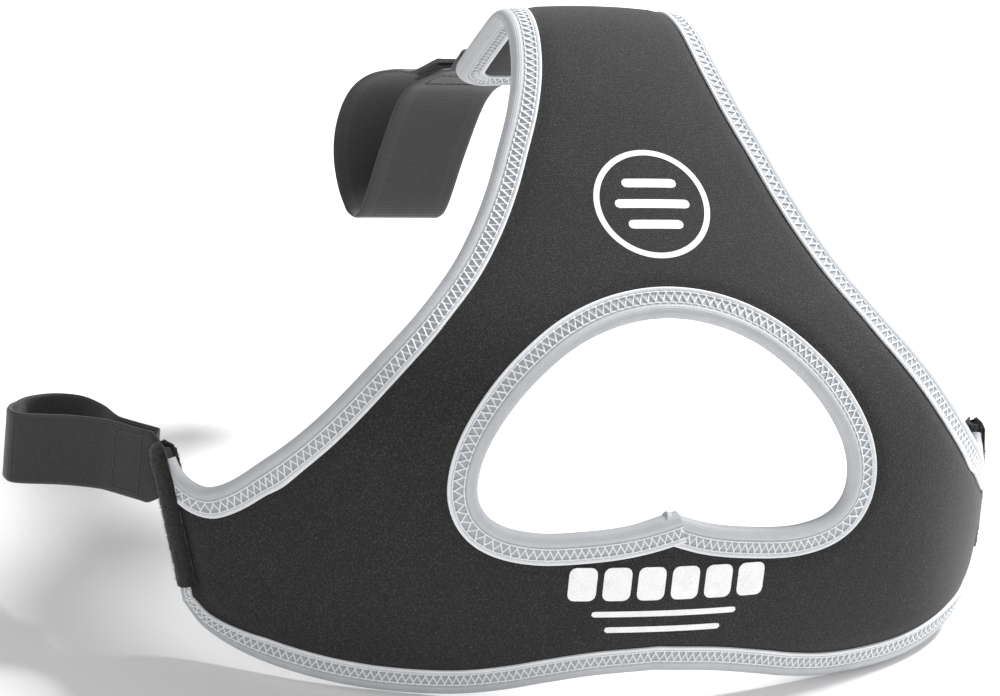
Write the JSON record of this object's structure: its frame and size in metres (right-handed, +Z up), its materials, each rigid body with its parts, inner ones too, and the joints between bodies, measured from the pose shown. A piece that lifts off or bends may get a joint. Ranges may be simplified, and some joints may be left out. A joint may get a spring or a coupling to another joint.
{
  "type": "catchers mask head harness",
  "caption": "Padded delta-shaped back plate of a catcher's mask with a ponytail opening, bound edges and webbing strap loops with hook-and-loop tabs.",
  "frame": {"origin": "the point of the lining that rests on the middle of the back of the head, on the centre line below the ponytail opening", "axes": "+Z up the harness, +Y from the back plate towards the wearer's face, +X towards the plate's right side seen from outside"},
  "size_m": [0.3481, 0.2461, 0.196],
  "materials": {
    "knit_shell": "fine knit",
    "foam": "closed-cell foam",
    "lining": "brushed jersey",
    "binding_tape": "knitted elastic tape",
    "hook_and_loop": "fuzzy loop pile",
    "webbing": "woven polyester",
    "thread": "sewing thread"
  },
  "bodies": {
    "back_plate": {"outer_shell_centre": "knit_shell", "foam_core_centre": "foam", "inner_lining_centre": "lining", "lower_binding_centre": "binding_tape", "upper_binding_left_waist": "binding_tape", "upper_binding_right_waist": "binding_tape", "opening_binding": "binding_tape"},
    "crown_lobe": {"outer_shell_crown": "knit_shell", "foam_core_crown": "foam", "inner_lining_crown": "lining", "crown_binding": "binding_tape", "crown_strap_stub": "webbing", "crown_bar_tack": "thread"},
    "left_wing": {"outer_shell_left_wing": "knit_shell", "foam_core_left_wing": "foam", "inner_lining_left_wing": "lining", "lower_binding_left_wing": "binding_tape", "upper_binding_left_wing": "binding_tape", "left_end_tape": "hook_and_loop", "left_strap_stub": "webbing", "left_bar_tack": "thread"},
    "right_wing": {"outer_shell_right_wing": "knit_shell", "foam_core_right_wing": "foam", "inner_lining_right_wing": "lining", "lower_binding_right_wing": "binding_tape", "upper_binding_right_wing": "binding_tape", "right_end_tape": "hook_and_loop", "right_strap_stub": "webbing", "right_bar_tack": "thread"},
    "left_strap": {"left_strap_outer_leg": "webbing", "left_loop_patch": "hook_and_loop"},
    "left_tab": {"left_strap_return_leg": "webbing", "left_hook_tab": "hook_and_loop"},
    "right_strap": {"right_strap_outer_leg": "webbing", "right_loop_patch": "hook_and_loop"},
    "right_tab": {"right_strap_return_leg": "webbing", "right_hook_tab": "hook_and_loop"},
    "crown_strap": {"crown_strap_outer_leg": "webbing", "crown_loop_patch": "hook_and_loop"},
    "crown_tab": {"crown_strap_return_leg": "webbing", "crown_hook_tab": "hook_and_loop"}
  },
  "joints": [
    {"name": "left_wing_flex", "type": "hinge", "parent": "back_plate", "child": "left_wing", "pos_m": [-0.09454, 0.01697, 0.02045], "axis": [0, -0.1729, -0.9849], "range_deg": [-20, 25], "stiffness_Nm_per_rad": 0.2},
    {"name": "right_wing_flex", "type": "hinge", "parent": "back_plate", "child": "right_wing", "pos_m": [0.09388, 0.01984, 0.01987], "axis": [0, 0.1711, 0.9853], "range_deg": [-20, 25], "stiffness_Nm_per_rad": 0.2},
    {"name": "crown_flex", "type": "hinge", "parent": "back_plate", "child": "crown_lobe", "pos_m": [0, 0.09602, 0.14461], "axis": [1, 0, 0], "range_deg": [-25, 25], "stiffness_Nm_per_rad": 0.2},
    {"name": "left_strap_swing", "type": "hinge", "parent": "left_wing", "child": "left_strap", "pos_m": [-0.1551, 0.06661, 0.01757], "axis": [0, 0, -1], "range_deg": [-30, 45], "stiffness_Nm_per_rad": 0.03},
    {"name": "left_tab_peel", "type": "hinge", "parent": "left_strap", "child": "left_tab", "pos_m": [-0.19812, 0.09846, 0.01494], "axis": [0, 0, 1], "range_deg": [0, 110]},
    {"name": "right_strap_swing", "type": "hinge", "parent": "right_wing", "child": "right_strap", "pos_m": [0.13809, 0.0787, 0.01529], "axis": [0, 0, 1], "range_deg": [-30, 45], "stiffness_Nm_per_rad": 0.03},
    {"name": "right_tab_peel", "type": "hinge", "parent": "right_strap", "child": "right_tab", "pos_m": [0.14095, 0.12944, -0.00169], "axis": [0, 0, -1], "range_deg": [0, 110]},
    {"name": "crown_strap_swing", "type": "hinge", "parent": "crown_lobe", "child": "crown_strap", "pos_m": [-0.01723, 0.18498, 0.11758], "axis": [1, 0, 0], "range_deg": [-30, 30], "stiffness_Nm_per_rad": 0.03},
    {"name": "crown_tab_peel", "type": "hinge", "parent": "crown_strap", "child": "crown_tab", "pos_m": [-0.03443, 0.23101, 0.0457], "axis": [-1, 0, 0], "range_deg": [0, 110]}
  ]
}
